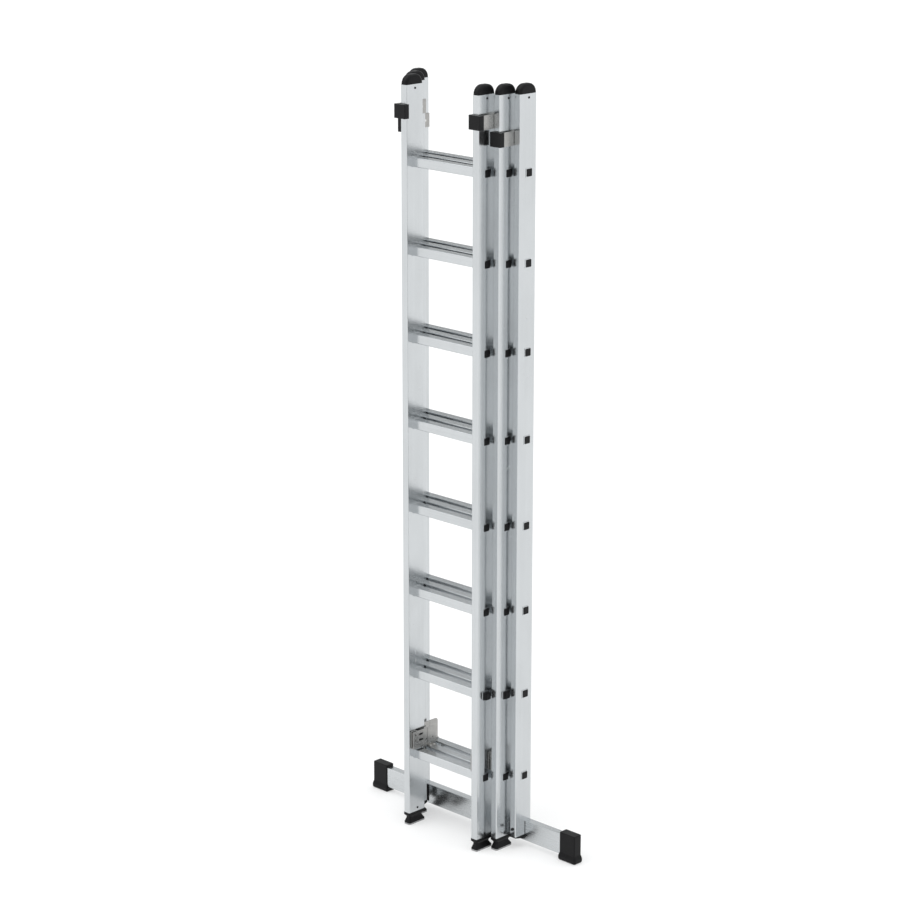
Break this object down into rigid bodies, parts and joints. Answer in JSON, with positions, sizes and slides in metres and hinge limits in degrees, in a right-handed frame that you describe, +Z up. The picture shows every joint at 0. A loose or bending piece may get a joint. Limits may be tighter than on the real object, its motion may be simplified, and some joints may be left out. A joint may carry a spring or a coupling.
{
  "type": "extension ladder",
  "caption": "Push-up extension ladder in sliding sections, aluminium tube stiles and square rungs, plastic caps and feet, guide brackets and a stabiliser bar.",
  "frame": {"origin": "on the floor, in the middle of the ladder's footprint", "axes": "+Z up along the stiles, -Y to the climbing side, +X to the climber's right"},
  "size_m": [0.93, 0.1938, 2.4775],
  "materials": {
    "stile_aluminium": "smooth drawn tube with crisp reflections",
    "rung_aluminium": "smooth drawn tube with a grooved tread",
    "zinc_steel": "zinc-plated sheet",
    "rivet_steel": "plain",
    "dark_steel": "black, dull",
    "black_plastic": "moulded, slightly glossy",
    "grey_rubber": "ribbed, dull"
  },
  "bodies": {
    "rear_section": {"rear_stile_left": "stile_aluminium", "rear_stile_right": "stile_aluminium", "rear_rung_1": "rung_aluminium", "rear_rung_2": "rung_aluminium", "rear_rung_3": "rung_aluminium", "rear_rung_4": "rung_aluminium", "rear_rung_5": "rung_aluminium", "rear_rung_6": "rung_aluminium", "rear_rung_7": "rung_aluminium", "rear_rung_8": "rung_aluminium", "rear_rung_plugs": "black_plastic", "rear_guide_brackets": "zinc_steel", "rear_guide_claws": "black_plastic", "rear_hook_keepers": "zinc_steel", "rear_top_caps": "black_plastic", "rear_pins": "black_plastic", "rear_rivets": "rivet_steel", "stabiliser_bar": "stile_aluminium", "bar_end_caps": "black_plastic", "bar_bolts": "dark_steel", "rear_stile_inserts": "black_plastic"},
    "middle_section": {"middle_stile_left": "stile_aluminium", "middle_stile_right": "stile_aluminium", "middle_rung_1": "rung_aluminium", "middle_rung_2": "rung_aluminium", "middle_rung_3": "rung_aluminium", "middle_rung_4": "rung_aluminium", "middle_rung_5": "rung_aluminium", "middle_rung_6": "rung_aluminium", "middle_rung_7": "rung_aluminium", "middle_rung_8": "rung_aluminium", "middle_rung_plugs": "black_plastic", "middle_guide_buttons": "black_plastic", "middle_feet": "black_plastic", "middle_soles": "grey_rubber", "middle_hook_plates": "zinc_steel", "middle_guide_brackets": "zinc_steel", "middle_guide_claws": "black_plastic", "middle_hook_keepers": "zinc_steel", "middle_top_caps": "black_plastic", "middle_pins": "black_plastic", "middle_rivets": "rivet_steel"},
    "front_section": {"front_stile_left": "stile_aluminium", "front_stile_right": "stile_aluminium", "front_rung_1": "rung_aluminium", "front_rung_2": "rung_aluminium", "front_rung_3": "rung_aluminium", "front_rung_4": "rung_aluminium", "front_rung_5": "rung_aluminium", "front_rung_6": "rung_aluminium", "front_rung_7": "rung_aluminium", "front_rung_8": "rung_aluminium", "front_rung_plugs": "black_plastic", "front_guide_buttons": "black_plastic", "front_feet": "black_plastic", "front_soles": "grey_rubber", "front_hook_plates": "zinc_steel", "front_top_caps": "black_plastic", "front_pins": "black_plastic", "front_rivets": "rivet_steel"}
  },
  "joints": [
    {"name": "middle_slide", "type": "slide", "parent": "rear_section", "child": "middle_section", "axis": [0, 0, 1], "range_m": [0, 1.4]},
    {"name": "front_slide", "type": "slide", "parent": "middle_section", "child": "front_section", "axis": [0, 0, 1], "range_m": [0, 1.4]}
  ]
}
